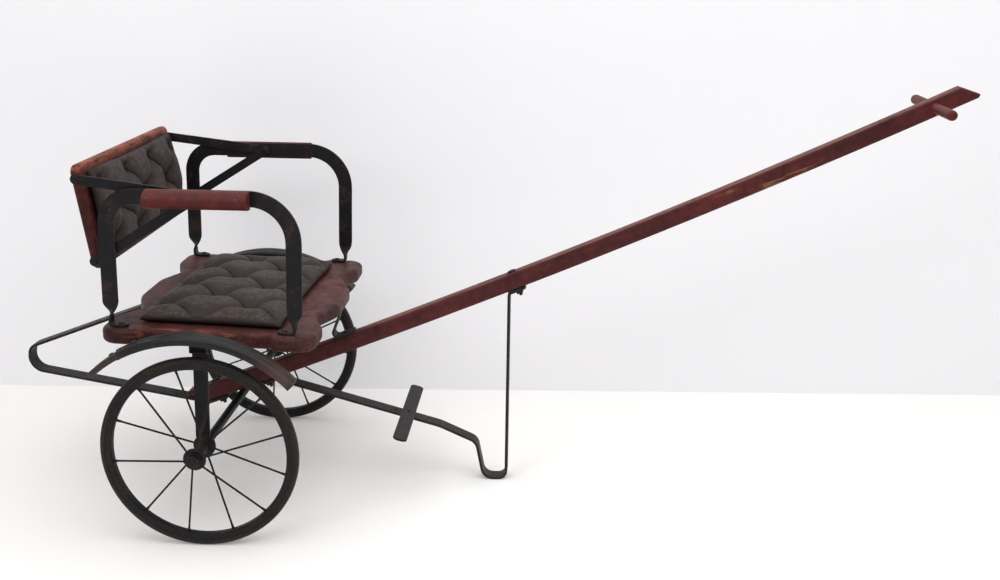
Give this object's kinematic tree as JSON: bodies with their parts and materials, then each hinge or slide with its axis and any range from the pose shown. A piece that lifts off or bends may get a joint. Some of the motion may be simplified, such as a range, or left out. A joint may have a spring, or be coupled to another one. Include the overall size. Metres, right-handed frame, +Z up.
{
  "type": "child's pull cart",
  "caption": "Child's two-wheeled pull cart: waved wooden seat with iron arms, backrest and tufted cushions on an iron axle, mudguards, footrest, and one long wooden pole with a cross pin.",
  "frame": {"origin": "on the floor, at the middle of the cart's length and width", "axes": "+X forward to the pole's tip, +Y to the rider's left along the axle, +Z up"},
  "size_m": [1.5596, 0.5976, 0.6704],
  "materials": {
    "painted_wood": "worn maroon paint on wood",
    "black_iron": "old black paint on wrought iron, rusty at the edges",
    "guard_sheet": "worn grey-green paint on sheet iron",
    "tyre_rubber": "old solid rubber",
    "leathercloth": "matt dark leathercloth with diamond tufting"
  },
  "bodies": {
    "cart": {"arm_left": "black_iron", "arm_right": "black_iron", "arm_rivet_left": "black_iron", "arm_rivet_right": "black_iron", "armrest_left": "painted_wood", "armrest_right": "painted_wood", "axle": "black_iron", "axle_nut_left": "black_iron", "axle_nut_right": "black_iron", "back_cushion": "leathercloth", "back_panel": "painted_wood", "footrest_bar": "black_iron", "guard_bracket_left": "black_iron", "guard_bracket_right": "black_iron", "guard_iron_left": "black_iron", "guard_iron_right": "black_iron", "handle_pin": "painted_wood", "loop_bolt": "black_iron", "lower_stay_left": "black_iron", "lower_stay_right": "black_iron", "mudguard_left": "guard_sheet", "mudguard_right": "guard_sheet", "pole": "painted_wood", "rear_loop": "black_iron", "seat_board": "painted_wood", "seat_bracket": "black_iron", "seat_cushion": "leathercloth", "stand_front_bolt": "black_iron", "stand_rear_bolt": "black_iron", "stand_strap": "black_iron", "upper_stay_left": "black_iron", "upper_stay_right": "black_iron", "upright_left": "black_iron", "upright_right": "black_iron"},
    "right_wheel": {"wheel_right": "black_iron", "tyre_right": "tyre_rubber"},
    "left_wheel": {"wheel_left": "black_iron", "tyre_left": "tyre_rubber"}
  },
  "joints": [
    {"name": "right_wheel_turn", "type": "hinge", "parent": "cart", "child": "right_wheel", "pos_m": [-0.41302, -0.258, 0.1525], "axis": [0, 1, 0], "continuous": true},
    {"name": "left_wheel_turn", "type": "hinge", "parent": "cart", "child": "left_wheel", "pos_m": [-0.41302, 0.258, 0.1525], "axis": [0, 1, 0], "continuous": true}
  ]
}
